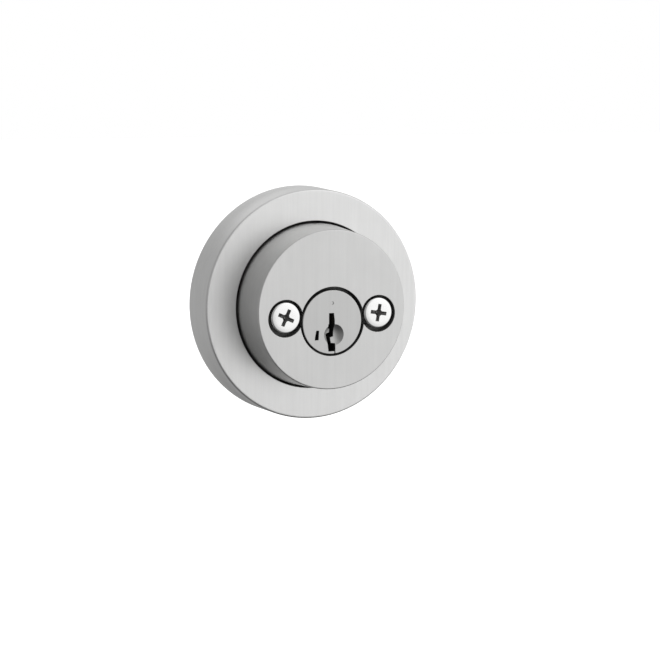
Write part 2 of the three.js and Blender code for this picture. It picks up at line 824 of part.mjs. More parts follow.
// ---------------------------------------------------------------- tailpiece

const HUB_FRONT = -PLUG_BACK_Y - 0.3;
const HUB_BACK = -6.25;
const BLADE_START = -6.7;
const CAP_FRONT = -6.5;
const CAP_BACK = -7.7;
const CAP_RADIUS = 7;
const CAP_HOLE_RADIUS = 3.5;
const HUB_RADIUS = 2.55;
const WING_FROM = 20; // clockwise from the top, just past the plug's dog
const WING_SPAN = 50;

// Torque blade on a hub whose two wings are pushed round by the plug's dogs, with a quarter
// turn of free play between them.
function tailpiece() {
  const core = rod(HUB_RADIUS, BLADE_START - 0.6, HUB_FRONT, 0, 0, SMALL);
  const wings = [0, 180].map((turn) =>
    prism(
      sector(2.2, 5.4, turn + WING_FROM, turn + WING_FROM + WING_SPAN),
      HUB_BACK,
      HUB_FRONT,
      6,
    ),
  );
  const half = BLADE_THICKNESS / 2;
  const wide = BLADE_WIDTH / 2;
  const blade = block([-half, half], [2.5 - BLADE_END_Y, BLADE_START], [-wide, wide]);
  const tip = block([-half, half], [-BLADE_END_Y, 2.6 - BLADE_END_Y], [0.7 - wide, wide - 0.7]);
  return join(core, ...wings, blade, tip);
}

add("tailpiece", tailpiece(), BLADE_STEEL);

// Ring that keeps the hub between the plug's dogs.
function tailCap() {
  const through = [CAP_BACK - 1, CAP_FRONT + 1];
  return cut(
    rod(CAP_RADIUS, CAP_BACK, CAP_FRONT, 0, 0, MEDIUM),
    rod(CAP_HOLE_RADIUS, ...through, 0, 0, SMALL),
    ...[-1, 1].map((side) =>
      rod(CAP_SCREW_RADIUS + 0.25, ...through, 0, side * CAP_SCREW_Z, TINY),
    ),
  );
}

add("tail_cap", tailCap(), ZINC_PLATE);

[1, -1].forEach((side, i) => {
  const z = side * CAP_SCREW_Z;
  const head = CAP_BACK - 0.1;
  const shape = turned(
    [
      [0, head - 0.9],
      [0.9, head - 0.9],
      [1.25, head - 0.5],
      [1.25, head],
      [CAP_SCREW_RADIUS, head],
      [CAP_SCREW_RADIUS, -3.3],
      [0, -3.3],
    ],
    { z, segments: TINY },
  );
  const slot = block([-2, 2], [head - 2, head - 0.45], [z - 0.2, z + 0.2]);
  add(`cap_screw_${i + 1}`, cut(shape, slot), ZINC_PLATE);
});

export default lock;
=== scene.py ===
import json
import math

import bmesh
import bpy
from mathutils import Matrix, Quaternion, Vector


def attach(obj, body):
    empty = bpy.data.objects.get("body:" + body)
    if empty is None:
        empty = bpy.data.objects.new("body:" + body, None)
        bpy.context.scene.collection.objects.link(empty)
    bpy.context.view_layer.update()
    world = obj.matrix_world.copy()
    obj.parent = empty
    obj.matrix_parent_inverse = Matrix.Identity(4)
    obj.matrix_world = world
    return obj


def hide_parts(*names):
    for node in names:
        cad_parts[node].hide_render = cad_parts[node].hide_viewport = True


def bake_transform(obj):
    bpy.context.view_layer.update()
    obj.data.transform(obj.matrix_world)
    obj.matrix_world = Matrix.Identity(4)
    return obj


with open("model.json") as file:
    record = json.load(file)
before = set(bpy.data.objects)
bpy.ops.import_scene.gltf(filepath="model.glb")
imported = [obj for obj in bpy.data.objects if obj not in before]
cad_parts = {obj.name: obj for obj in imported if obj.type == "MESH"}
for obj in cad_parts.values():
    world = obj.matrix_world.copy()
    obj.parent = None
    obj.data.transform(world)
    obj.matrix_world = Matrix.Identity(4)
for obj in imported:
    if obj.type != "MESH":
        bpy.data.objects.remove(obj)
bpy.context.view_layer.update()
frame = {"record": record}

# ---------------------------------------------------------------- sizes, in millimetres
# "out" is the height above the face of the door, so y = -out.

MM = 0.001
ROSE_Z = 3.4
ROSE_HEIGHT = 12.0
ROSE_WALL = 1.6
ROSE_HOLE = 23.35
ROSE_FOOT_RADIUS, ROSE_FRONT_RADIUS = 32.5, 32.1
ROSE_SCREW_CIRCLE = 26.4
HOUSING_FACE, HOUSING_BACK = 24.2, 1.9
HOUSING_FRONT_RADIUS, HOUSING_ROOT_RADIUS, HOUSING_INSIDE_RADIUS = 21.9, 23.1, 20.6
HOUSING_FLANGE_RADIUS, HOUSING_FLANGE_BACK, HOUSING_FLANGE_FRONT = 29.2, 5.4, 7.4
FACE_INSIDE = 21.4
FACE_HOLE_RADIUS, FACE_HOLE_Z = 9.5, 0.2
SCREW_X, SCREW_Z = 13.85, 1.9
SCREW_TOP, SCREW_SEAT = 24.45, 21.4
SHANK_RADIUS, SHANK_HOLE_RADIUS = 2.05, 2.3
COUNTERBORE_RADIUS, COUNTERBORE_Z = 5.1, 1.67
PLATE_BACK, PLATE_FRONT, PLATE_RADIUS = 0.1, 1.8, 29.8
PLATE_SCREW_OFFSET = 17.6
BODY_FRONT, BODY_BACK = 21.1, -1.5
BODY_RADIUS, BODY_BORE_RADIUS = 11.2, 8.45
BODY_FLANGE_RADIUS, BODY_FLANGE_BACK, BODY_FLANGE_FRONT = 12.8, 2.0, 4.1
LUG_HALF_WIDTH, LUG_REACH = 1.5, 14.8  # stops the body from turning in the housing
POCKET_RADIUS, POCKET_TOP = 13.1, 4.3  # the housing's pocket for the body's flange
SHANK_BOSS_RADIUS, PLATE_BOSS_RADIUS = 7, 3.3
PLUG_FACE, PLUG_BACK = 24.0, -4.0
PLUG_RADIUS, PLUG_FACE_RADIUS = 8.3, 8.8
CLIP_GROOVE_RADIUS, CLIP_GROOVE_BACK, CLIP_GROOVE_FRONT = 7.5, -2.7, -1.8
FIRST_TUMBLER, TUMBLER_PITCH = 6.3, 3.81
TUMBLER_OUT = [PLUG_FACE - FIRST_TUMBLER - TUMBLER_PITCH * i for i in range(5)]
PIN_X = -0.35
GUARD_PIN_OUT, GUARD_PINS = 20, ((1.2, 7.7), (4.2, 6.2))  # height, and where each pin ends
CAP_SCREW_Z = 4.85
CARRIER_RADIUS, CARRIER_BACK, CARRIER_FRONT = 8.15, 0.75, 19.9
CARRIER_SPRING_X, CARRIER_SPRING_Z = -4.4, 2.4
PIN_SPRING = 0.52, 0.11, 9  # radius of the coil, radius of the wire, turns
CARRIER_SPRING = 0.65, 0.12, 4
SIDEBAR_SPRING = 0.36, 0.09, 6
KEYWAY = [
    (-0.98, 2.5), (0.5, 2.5), (0.75, 0.6), (0.75, -4.1), (-0.2, -4.35), (-0.2, -5.75),
    (0.95, -5.9), (0.95, -8.05), (-1.1, -8.05), (-1.8, -3.2), (-0.62, -2.85), (-0.62, -1.85),
    (-1.2, -1.75), (-1.2, -0.55), (-0.98, -0.5),
]
TOOL_SLOT = [(-4.75, -2.15), (-3.95, -2.15), (-4.1, -4.75), (-5.15, -4.75), (-5.15, -4.1)]
DIMPLE_X, DIMPLE_Z, DIMPLE_RADIUS, DIMPLE_DEPTH = 0.5, -3.5, 2.93, 1.1
DOG_HALF_ANGLE = 18
WING_FROM, WING_SPAN = 20, 50
ROSE_SCREWS = [
    (ROSE_SCREW_CIRCLE * math.cos(math.radians(90 + 120 * i)),
     ROSE_Z + ROSE_SCREW_CIRCLE * math.sin(math.radians(90 + 120 * i)))
    for i in range(3)
]
PLATE_SCREWS = [ROSE_Z + PLATE_SCREW_OFFSET, ROSE_Z - PLATE_SCREW_OFFSET]

ROUND, FINE, SMALL = 192, 96, 48  # facets round a full turn
ROSE_FACETS, CARRIER_FACETS, DIMPLE_FACETS = 256, 128, 128
FLAT_ANGLE = 0.3  # neighbouring faces closer than this, in degrees, are one
SAME_POINT = 1e-3  # points closer than this, in millimetres, are one

RECORD = frame["record"]
BODY_OF = {n: b for b, nodes in RECORD["behaviour"]["bodies"].items() for n in nodes}

# ---------------------------------------------------------------- mesh building

OUTWARD = Matrix(((1, 0, 0), (0, 0, -1), (0, 1, 0))).to_4x4()  # local Z runs out of the door
ACROSS = Matrix(((0, 0, 1), (0, 1, 0), (-1, 0, 0))).to_4x4()  # local Z runs along X
UPWARD = Matrix.Identity(4)


def softened(points, closed, steps=4):
    """Points with each corner that has a third number rounded by that much."""
    made = []
    count = len(points)
    for i, point in enumerate(points):
        size = point[2] if len(point) > 2 else 0
        here = Vector(point[:2])
        if not size or (not closed and i in (0, count - 1)):
            made.append(here)
            continue
        before = Vector(points[i - 1][:2]) - here
        after = Vector(points[(i + 1) % count][:2]) - here
        start = here + before.normalized() * min(size, before.length * 0.49)
        end = here + after.normalized() * min(size, after.length * 0.49)
        for k in range(steps + 1):
            t = k / steps
            made.append(start * (1 - t) ** 2 + here * 2 * t * (1 - t) + end * t * t)
    return made


def new_object(name, bm):
    bmesh.ops.remove_doubles(bm, verts=bm.verts, dist=1e-5)
    bmesh.ops.recalc_face_normals(bm, faces=bm.faces)
    mesh = bpy.data.meshes.new(name)
    bm.to_mesh(mesh)
    bm.free()
    made = bpy.data.objects.new(name, mesh)
    bpy.context.scene.collection.objects.link(made)
    return made


def skin(name, bm, rings):
    """A closed solid over rings of points, with a flat face at each end."""
    for one, two in zip(rings, rings[1:]):
        for k in range(len(one)):
            near = (k + 1) % len(one)
            bm.faces.new((one[k], one[near], two[near], two[k]))
    bm.faces.new(rings[0])
    bm.faces.new(rings[-1][::-1])
    return new_object(name, bm)


def lathe(profile, x=0.0, y=0.0, z=0.0, segments=FINE, way=OUTWARD, steps=4):
    """A turned solid from [radius, height(, rounding)] points about a line through x, y, z."""
    on_axis = profile[0][0] == 0 and profile[-1][0] == 0
    points = softened(profile, not on_axis, steps)
    place = Matrix.Translation((x, y, z)) @ way
    bm = bmesh.new()
    rings = []
    for radius, height in points:
        corners = 1 if radius < 1e-6 else segments
        turns = [2 * math.pi * k / segments for k in range(corners)]
        rings.append([
            bm.verts.new(place @ Vector((radius * math.cos(a), radius * math.sin(a), height)))
            for a in turns
        ])
    pairs = list(zip(rings, rings[1:])) + ([] if on_axis else [(rings[-1], rings[0])])
    for one, two in pairs:
        if len(one) == len(two) == 1:
            continue
        for k in range(segments):
            near = (k + 1) % segments
            loop = (one[k % len(one)], one[near % len(one)],
                    two[near % len(two)], two[k % len(two)])
            bm.faces.new(tuple(dict.fromkeys(loop)))
    return new_object("turned", bm)


def rod(radius, low, high, x=0.0, z=0.0, segments=FINE):
    return lathe([(0, low), (radius, low), (radius, high), (0, high)], x=x, z=z,
                 segments=segments)


def prism(outline, low, high, steps=4):
    """An outline in X and Z, run from one height above the door to another."""
    bm = bmesh.new()
    flat = softened(outline, True, steps)
    rings = [[bm.verts.new((p.x, -out, p.y)) for p in flat] for out in (low, high)]
    return skin("prism", bm, rings)


def block(xs, outs, zs):
    return prism([(xs[0], zs[0]), (xs[1], zs[0]), (xs[1], zs[1]), (xs[0], zs[1])], *outs)


def ball(radius, x, out, z, segments=FINE):
    rows = segments // 2
    profile = [
        (radius * math.sin(math.pi * k / rows), out - radius * math.cos(math.pi * k / rows))
        for k in range(rows + 1)
    ]
    profile[0] = (0, profile[0][1])
    profile[-1] = (0, profile[-1][1])
    return lathe(profile, x=x, z=z, segments=segments)


def sector(inner, outer, start, end, step=3):
    """A ring sector between two clockwise angles from the top, in degrees."""
    count = max(2, round((end - start) / step))
    angles = [math.radians(90 - start - (end - start) * k / count) for k in range(count + 1)]
    arc = [(outer * math.cos(a), outer * math.sin(a)) for a in angles]
    back = [(inner * math.cos(a), inner * math.sin(a)) for a in reversed(angles)]
    return arc + back


def coil(start, end, radius, wire, turns, sides=10, steps=30):
    """A compression spring with closed end turns."""
    start, end = Vector(start), Vector(end)
    along = (end - start).normalized()
    side = Vector((0, 1, 0)) if abs(along.x) > 0.5 else Vector((1, 0, 0))
    up = along.cross(side)
    count = round(turns * steps)
    bm = bmesh.new()
    rings = []
    length = (end - start).length - 2 * wire
    closed = 1.0 / turns  # share of the wire in each end's closed turn
    for k in range(count + 1):
        t = k / count
        if t < closed:
            rise = 2 * wire * t / closed
        elif t > 1 - closed:
            rise = length - 2 * wire * (1 - t) / closed
        else:
            rise = 2 * wire + (length - 4 * wire) * (t - closed) / (1 - 2 * closed)
        angle = 2 * math.pi * turns * t
        ray = side * math.cos(angle) + up * math.sin(angle)
        middle = start + along * (wire + rise) + ray * radius
        rings.append([
            bm.verts.new(middle + (ray * math.cos(b) + along * math.sin(b)) * wire)
            for b in (2 * math.pi * j / sides for j in range(sides))
        ])
    return skin("coil", bm, rings)


def bake(obj):
    """The object's modifiers become its mesh."""
    graph = bpy.context.evaluated_depsgraph_get()
    mesh = bpy.data.meshes.new_from_object(obj.evaluated_get(graph))
    old = obj.data
    obj.modifiers.clear()
    obj.data = mesh
    bpy.data.meshes.remove(old)
    return obj


def carve(base, joins=(), cuts=(), keeps=()):
    """base with solids joined to it, then cut from it, then kept only inside others. Its flat
    areas end up as few large faces."""
    work = [("UNION", t) for t in joins] + [("DIFFERENCE", t) for t in cuts]
    work += [("INTERSECT", t) for t in keeps]
    for operation, tool in work:
        step = base.modifiers.new(operation, "BOOLEAN")
        step.operation = operation
        step.solver = "MANIFOLD"
        step.object = tool
    bake(base)
    bm = bmesh.new()
    bm.from_mesh(base.data)
    bmesh.ops.dissolve_degenerate(bm, edges=bm.edges, dist=SAME_POINT)
    bmesh.ops.dissolve_limit(bm, verts=bm.verts, edges=bm.edges,
                             angle_limit=math.radians(FLAT_ANGLE))
    bm.to_mesh(base.data)
    bm.free()
    for _, tool in work:
        mesh = tool.data
        bpy.data.objects.remove(tool)
        bpy.data.meshes.remove(mesh)
    return base


def shade(obj, edge=0.0, corner=38, steps=2, crisp=None, smooth=55):
    """Rounds the edges that are sharper than corner degrees, apart from those whose middle
    passes the crisp test, then shades the piece smooth, up to an angle in degrees, and splits
    it into triangles."""
    if edge:
        bm = bmesh.new()
        bm.from_mesh(obj.data)
        weight = bm.edges.layers.float.new("bevel_weight_edge")
        for line in bm.edges:
            middle = (line.verts[0].co + line.verts[1].co) / 2
            sharp = line.calc_face_angle(0.0) > math.radians(corner)
            line[weight] = float(sharp and not (crisp and crisp(middle)))
        bm.to_mesh(obj.data)
        bm.free()
        rounding = obj.modifiers.new("edges", "BEVEL")
        rounding.limit_method = "WEIGHT"
        rounding.loop_slide = False
        rounding.width = edge
        rounding.segments = steps
        rounding.use_clamp_overlap = False
        rounding.miter_outer = "MITER_ARC"
        bake(obj)
    obj.data.shade_smooth()
    obj.data.set_sharp_from_angle(angle=math.radians(smooth))
    even = obj.modifiers.new("normals", "WEIGHTED_NORMAL")
    even.keep_sharp = True
    even.weight = 60
    split = obj.modifiers.new("triangles", "TRIANGULATE")
    split.keep_custom_normals = True
    return bake(obj)


def reach(at, x, z):
    """How far a point is from a line along Y."""
    return math.hypot(at.x - x, at.z - z)


def finish_piece(obj, name, node, material, paints=(), stretch=None):
    """Names a piece, brings it to metres and hides its CAD node. Unless stretch is given, it
    ties the piece to that node's body. paints are (material, test) pairs: a face takes the
    first one whose test all its corners pass. stretch is for a spring: the body at its moving
    end, the body at its other end, and both ends; only whether it is given is read, and then
    the piece's place is baked into its mesh."""
    obj.name = obj.data.name = name
    obj.data.transform(Matrix.Scale(MM, 4))
    obj.data.materials.clear()
    obj.data.materials.append(material)
    for paint, _ in paints:
        obj.data.materials.append(paint)
    corners = [vertex.co / MM for vertex in obj.data.vertices]
    for face in obj.data.polygons:
        face.material_index = 0
        for i, (_, test) in enumerate(paints):
            if all(test(corners[k], face.normal) for k in face.vertices):
                face.material_index = i + 1
                break
    if stretch:
        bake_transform(obj)
    else:
        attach(obj, BODY_OF[node])
    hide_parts(node)
    return obj


# ---------------------------------------------------------------- materials

CLOUD_SCALE = 90
GRAIN_HEIGHT = 0.00004  # metres


def metal(name, colour, roughness, grain=(1, 1, 0.03), streak=0.05, cloud=0.03, bump=0.1,
          scale=5200, metallic=1.0, drawn=0.0):
    """Plated or machined metal: fine grain drawn out along one direction, faint clouding.
    drawn stretches its highlights across that direction."""
    material = bpy.data.materials.new(name)
    material.use_nodes = True
    nodes, links = material.node_tree.nodes, material.node_tree.links
    shader = nodes["Principled BSDF"]
    shader.inputs["Metallic"].default_value = metallic
    if drawn:
        shader.inputs["Anisotropic"].default_value = drawn
        tangent = nodes.new("ShaderNodeTangent")
        tangent.direction_type = "RADIAL"
        tangent.axis = "Z"
        links.new(tangent.outputs["Tangent"], shader.inputs["Tangent"])
    coords = nodes.new("ShaderNodeTexCoord")
    stretch = nodes.new("ShaderNodeMapping")
    stretch.inputs["Scale"].default_value = grain
    links.new(coords.outputs["Object"], stretch.inputs["Vector"])

    def noise(vector, size, detail, rough):
        made = nodes.new("ShaderNodeTexNoise")
        made.inputs["Scale"].default_value = size
        made.inputs["Detail"].default_value = detail
        made.inputs["Roughness"].default_value = rough
        links.new(vector, made.inputs["Vector"])
        return made.outputs["Fac"]

    fine = noise(stretch.outputs["Vector"], scale, 4, 0.65)
    broad = noise(stretch.outputs["Vector"], scale * 0.22, 2, 0.5)
    soft = noise(coords.outputs["Object"], CLOUD_SCALE, 3, 0.55)

    def spread(source, low, high):
        made = nodes.new("ShaderNodeMapRange")
        made.inputs["From Min"].default_value = 0.3
        made.inputs["From Max"].default_value = 0.7
        made.inputs["To Min"].default_value = low
        made.inputs["To Max"].default_value = high
        links.new(source, made.inputs["Value"])
        return made.outputs["Result"]

    def combine(operation, one, two):
        made = nodes.new("ShaderNodeMath")
        made.operation = operation
        links.new(one, made.inputs[0])
        links.new(two, made.inputs[1])
        return made.outputs["Value"]

    tone = combine("MULTIPLY", spread(broad, 1 - streak, 1 + streak),
                   spread(soft, 1 - cloud, 1 + cloud))
    tone = combine("MULTIPLY", tone, spread(fine, 1 - streak * 0.7, 1 + streak * 0.7))
    tint = nodes.new("ShaderNodeVectorMath")
    tint.operation = "SCALE"
    tint.inputs[0].default_value = colour
    links.new(tone, tint.inputs["Scale"])
    links.new(tint.outputs["Vector"], shader.inputs["Base Color"])
    rough = combine("ADD", spread(fine, roughness * 0.88, roughness * 1.08),
                    spread(soft, -roughness * cloud, roughness * cloud))
    links.new(rough, shader.inputs["Roughness"])
    relief = nodes.new("ShaderNodeBump")
    relief.inputs["Strength"].default_value = bump
    relief.inputs["Distance"].default_value = GRAIN_HEIGHT
    links.new(fine, relief.inputs["Height"])
    links.new(relief.outputs["Normal"], shader.inputs["Normal"])
    return material


SATIN = metal("satin_chrome", (0.81, 0.81, 0.805), 0.41, streak=0.02, bump=0.22, drawn=0.6)
HOUSING_SATIN = metal("satin_chrome_housing", (0.67, 0.67, 0.665), 0.38, streak=0.018,
                      bump=0.22, drawn=0.5)
PLUG_METAL = metal("satin_plug", (0.56, 0.56, 0.555), 0.36, streak=0.02, bump=0.18)
# A darker copy of the plug's metal: painted shade for the dimple's wall.
DIMPLE_PAINTED_SHADE = metal("satin_plug_painted_shade", (0.42, 0.42, 0.415), 0.36, streak=0.02, bump=0.18)
BRIGHT = metal("bright_plate", (0.86, 0.86, 0.855), 0.14, grain=(1, 1, 1), streak=0.02,
               bump=0.04, scale=900)
ZINC = metal("zinc_plate", (0.58, 0.6, 0.62), 0.34, grain=(1, 1, 1), streak=0.06, cloud=0.1,
             bump=0.12, scale=1500)
CAST = metal("die_cast", (0.36, 0.36, 0.365), 0.5, grain=(1, 1, 1), streak=0.08, cloud=0.1,
             bump=0.5, scale=2600)
BRASS = metal("turned_brass", (0.74, 0.54, 0.24), 0.28, grain=(1, 0.1, 1), streak=0.06,
              cloud=0.06, bump=0.15, scale=6000)
SPRING = metal("spring_wire", (0.5, 0.51, 0.53), 0.24, grain=(1, 1, 1), streak=0.04,
               bump=0.06, scale=4000)
BLADE = metal("rolled_steel", (0.5, 0.5, 0.505), 0.36, grain=(1, 0.03, 1), streak=0.06,
              cloud=0.08, bump=0.25)
# Painted shade: a dark copy of the screws' plating for the walls and floor of their cross
# recesses.
DRIVE_PAINTED_SHADE = metal("drive_painted_shade", (0.32, 0.32, 0.315), 0.45, grain=(1, 1, 1), streak=0.1,
               cloud=0.1, bump=0.1, scale=3000, metallic=0.5)
# Painted shade for walls and floors down in gaps and openings: the housing's counterbores and
# face hole, the plug's rim and the body's front.
GAP_PAINTED_SHADE = metal("gap_painted_shade", (0.15, 0.15, 0.148), 0.55, grain=(1, 1, 1), streak=0.1,
                  cloud=0.1, bump=0.1, scale=3000, metallic=0.6)
# Painted deep shade, near black: the keyway with its slit and tool slot, the rose's hole wall
# and the foot of the housing's outer wall.
DEEP_PAINTED_SHADE = metal("painted_deep_shade", (0.08, 0.079, 0.077), 0.6, grain=(1, 0.1, 1), streak=0.15,
             cloud=0.2, bump=0.4, scale=3000, metallic=0.6)

# ---------------------------------------------------------------- rose

ROSE_BACK = ROSE_HEIGHT - ROSE_WALL
rose = lathe(
    [(ROSE_FOOT_RADIUS, 0, 0.15), (ROSE_FRONT_RADIUS, ROSE_HEIGHT, 0.75),
     (ROSE_HOLE, ROSE_HEIGHT, 0.22), (ROSE_HOLE, ROSE_BACK, 0.15),
     (ROSE_FRONT_RADIUS - ROSE_WALL, ROSE_BACK, 1.0), (ROSE_FOOT_RADIUS - ROSE_WALL, 0, 0.15)],
    z=ROSE_Z, segments=ROSE_FACETS, steps=6)
bosses = [
    lathe([(0, 7.6), (2.6, 7.6, 0.2), (2.75, 10.8), (0, 10.8)], x=x, z=z, segments=SMALL)
    for x, z in ROSE_SCREWS
]
threads = [
    lathe([(0, 6.6), (1.5, 6.6), (1.5, 7.75), (1.3, 7.95), (1.3, 10.6), (0, 10.6)], x=x, z=z,
          segments=SMALL)
    for x, z in ROSE_SCREWS
]
shade(carve(rose, bosses, threads))


# The rose's hole wall, down in the gap round the housing, takes painted deep shade.
def rose_hole_wall(at, normal):
    return reach(at, 0, ROSE_Z) < ROSE_HOLE + 0.02 and -at.y < ROSE_HEIGHT - 0.12


def rose_inside(at, normal):
    inner = ROSE_FOOT_RADIUS - ROSE_WALL + 0.05
    return -at.y < ROSE_HEIGHT - ROSE_WALL / 2 and reach(at, 0, ROSE_Z) < inner


finish_piece(rose, "rose_shell", "rose", SATIN, [(DEEP_PAINTED_SHADE, rose_hole_wall), (CAST, rose_inside)])

# ---------------------------------------------------------------- cylinder housing

housing = lathe(
    [(0, HOUSING_FACE), (HOUSING_FRONT_RADIUS, HOUSING_FACE, 0.42),
     (HOUSING_ROOT_RADIUS, HOUSING_FLANGE_FRONT, 0.3),
     (HOUSING_FLANGE_RADIUS, HOUSING_FLANGE_FRONT, 0.2),
     (HOUSING_FLANGE_RADIUS, HOUSING_FLANGE_BACK, 0.2),
     (HOUSING_ROOT_RADIUS, HOUSING_FLANGE_BACK, 0.4), (HOUSING_ROOT_RADIUS, HOUSING_BACK, 0.2),
     (HOUSING_INSIDE_RADIUS, HOUSING_BACK, 0.15), (HOUSING_INSIDE_RADIUS, FACE_INSIDE, 0.5),
     (0, FACE_INSIDE)],
    z=ROSE_Z, segments=ROUND, steps=5)
boss_top = FACE_INSIDE + 0.4
bosses = [rod(POCKET_RADIUS + 0.6, POCKET_TOP, boss_top, segments=ROUND)]
for side in (-1, 1):
    bosses.append(rod(SHANK_BOSS_RADIUS, HOUSING_BACK, boss_top, side * SCREW_X, SCREW_Z))
bosses += [rod(PLATE_BOSS_RADIUS, HOUSING_BACK, boss_top, 0, z, SMALL) for z in PLATE_SCREWS]
lug_web = block((-3.2, 3.2), (HOUSING_BACK, 9), (12.4, PLATE_SCREWS[0]))
bosses.append(lug_web)
hollows = [
    rod(BODY_RADIUS + 0.2, 0, FACE_INSIDE + 0.1, segments=ROUND),
    rod(POCKET_RADIUS, 0, POCKET_TOP, segments=ROUND),
    rod(FACE_HOLE_RADIUS, FACE_INSIDE - 1, HOUSING_FACE + 1, 0, FACE_HOLE_Z, segments=ROUND),
]
for side in (-1, 1):
    x = side * SCREW_X
    hollows.append(rod(COUNTERBORE_RADIUS, SCREW_SEAT, HOUSING_FACE + 1, x, COUNTERBORE_Z))
    hollows.append(rod(SHANK_HOLE_RADIUS, 0, HOUSING_FACE, x, SCREW_Z, SMALL))
hollows += [rod(1.25, 0, 8, 0, z, SMALL) for z in PLATE_SCREWS]
hollows += [rod(1.5, 4.4, 8.4, x, z, SMALL) for x, z in ROSE_SCREWS]
slot_side = LUG_HALF_WIDTH + 0.25
lug_slot = block((-slot_side, slot_side), (0, POCKET_TOP), (12, LUG_REACH + 0.4))
hollows.append(lug_slot)

INSIDE_FROM = FACE_INSIDE - 0.2
INSIDE_REACH = HOUSING_INSIDE_RADIUS + 0.3


def recess(at, normal):
    """The walls and floors of the openings in the housing's face, which take painted shade."""
    in_face_hole = reach(at, 0, FACE_HOLE_Z) < FACE_HOLE_RADIUS + 0.3
    in_counterbore = reach(at, math.copysign(SCREW_X, at.x), COUNTERBORE_Z) < (
        COUNTERBORE_RADIUS + 0.2)
    return INSIDE_FROM < -at.y < HOUSING_FACE - 0.05 and (in_face_hole or in_counterbore)


def housing_root(at, normal):
    """The foot of the outer wall, which the rose hides; it takes painted deep shade."""
    outside = reach(at, 0, ROSE_Z) > HOUSING_FRONT_RADIUS + 0.5
    return -at.y < ROSE_HEIGHT - 0.1 and outside


def cast_side(at, normal):
    """The housing's unplated inside."""
    return -at.y < INSIDE_FROM and reach(at, 0, ROSE_Z) < INSIDE_REACH


def housing_inner_edge(at):
    return -at.y < FACE_INSIDE + 0.05 and reach(at, 0, ROSE_Z) < INSIDE_REACH


shade(carve(housing, bosses, hollows), edge=0.1, crisp=housing_inner_edge)
# The openings in the face take painted shade and the foot of the wall painted deep shade.
finish_piece(housing, "housing_shell", "cylinder_housing", HOUSING_SATIN,
             [(GAP_PAINTED_SHADE, recess), (DEEP_PAINTED_SHADE, housing_root), (CAST, cast_side)])

# ---------------------------------------------------------------- mounting hardware

plate = lathe(
    [(0, PLATE_BACK), (PLATE_RADIUS, PLATE_BACK, 0.3), (PLATE_RADIUS, PLATE_FRONT, 0.3),
     (0, PLATE_FRONT)],
    z=ROSE_Z, segments=ROUND)
holes = [rod(BODY_RADIUS + 0.4, -1, 3, segments=ROUND)]
holes += [rod(2.6, -1, 3, side * SCREW_X, SCREW_Z, SMALL) for side in (-1, 1)]
holes += [
    lathe([(0, -1), (3.1, -1), (3.1, PLATE_BACK), (1.5, PLATE_FRONT - 0.1), (1.5, 3), (0, 3)],
          z=z, segments=SMALL)
    for z in PLATE_SCREWS
]
shade(carve(plate, (), holes), edge=0.12)
finish_piece(plate, "door_plate", "mounting_plate", ZINC)


def cross_recess(x, z, top, turn, arm=2.35, width=0.95, depth=2.3):
    """Two tapered wings at right angles and the cone between them."""
    tools = []
    for quarter in (0, 90):
        bm = bmesh.new()
        rings = []
        for out, long, wide in ((top + 0.6, arm + 0.2, width * 0.54),
                                (top - 0.3, arm, width * 0.5),
                                (top - depth, arm * 0.36, width * 0.3)):
            corners = [(-long, -wide), (long, -wide), (long, wide), (-long, wide)]
            spin = Matrix.Rotation(-math.radians(turn + quarter), 2)
            rings.append([
                bm.verts.new((x + p.x, -out, z + p.y))
                for p in (spin @ Vector(c) for c in corners)
            ])
        tools.append(skin("wing", bm, rings))
    tools.append(lathe([(0, top + 0.6), (1.05, top + 0.6), (0.95, top - 0.3),
                        (0.4, top - depth - 0.1), (0, top - depth - 0.35)],
                       x=x, z=z, segments=SMALL))
    return tools


THREAD_FORM = [(0, 0), (0.12, 0), (0.5, 1), (0.62, 1)]  # share of the pitch, share of depth


def threaded(radius, depth, pitch, low, high, x, z, segments=36, tip=0.6, tip_length=0.9):
    """A shank with a helical thread, whose rows of points follow the helix. It fades out at
    both ends, and its low end is tapered."""
    form = len(THREAD_FORM)
    rows = form * (math.ceil((high - low) / pitch) + 1)
    bm = bmesh.new()
    rings = []
    for row in range(rows + 1):
        share, cut = THREAD_FORM[row % form]
        ring = []
        for k in range(segments):
            out = low + pitch * (row // form + share - k / segments)
            out = min(max(out, low), high)
            fade = min(1.0, (high - out) / pitch, (out - low) / (0.4 * pitch))
            taper = max(0.0, 1 - (out - low) / tip_length) * tip
            r = radius - depth * cut * fade - taper * (1 - cut * fade * 0.5)
            a = 2 * math.pi * k / segments
            ring.append(bm.verts.new((x + r * math.cos(a), -out, z + r * math.sin(a))))
        rings.append(ring)
    for row in range(rows):
        for k in range(segments):
            near = (k + 1) % segments
            drop = form if near == 0 else 0  # after a full turn the helix is one pitch lower
            low_row, high_row = rings[max(row - drop, 0)], rings[max(row + 1 - drop, 0)]
            loop = (rings[row][k], low_row[near], high_row[near], rings[row + 1][k])
            if len(set(loop)) > 2:
                bm.faces.new(tuple(dict.fromkeys(loop)))
    bm.faces.new(rings[0])
    bm.faces.new(rings[-1][::-1])
    return new_object("thread", bm)


def join_meshes(first, *others):
    """Adds other meshes to the first one's mesh, as they are."""
    bm = bmesh.new()
    bm.from_mesh(first.data)
    for other in others:
        bm.from_mesh(other.data)
    bm.to_mesh(first.data)
    bm.free()
    for other in others:
        mesh = other.data
        bpy.data.objects.remove(other)
        bpy.data.meshes.remove(mesh)
    return first


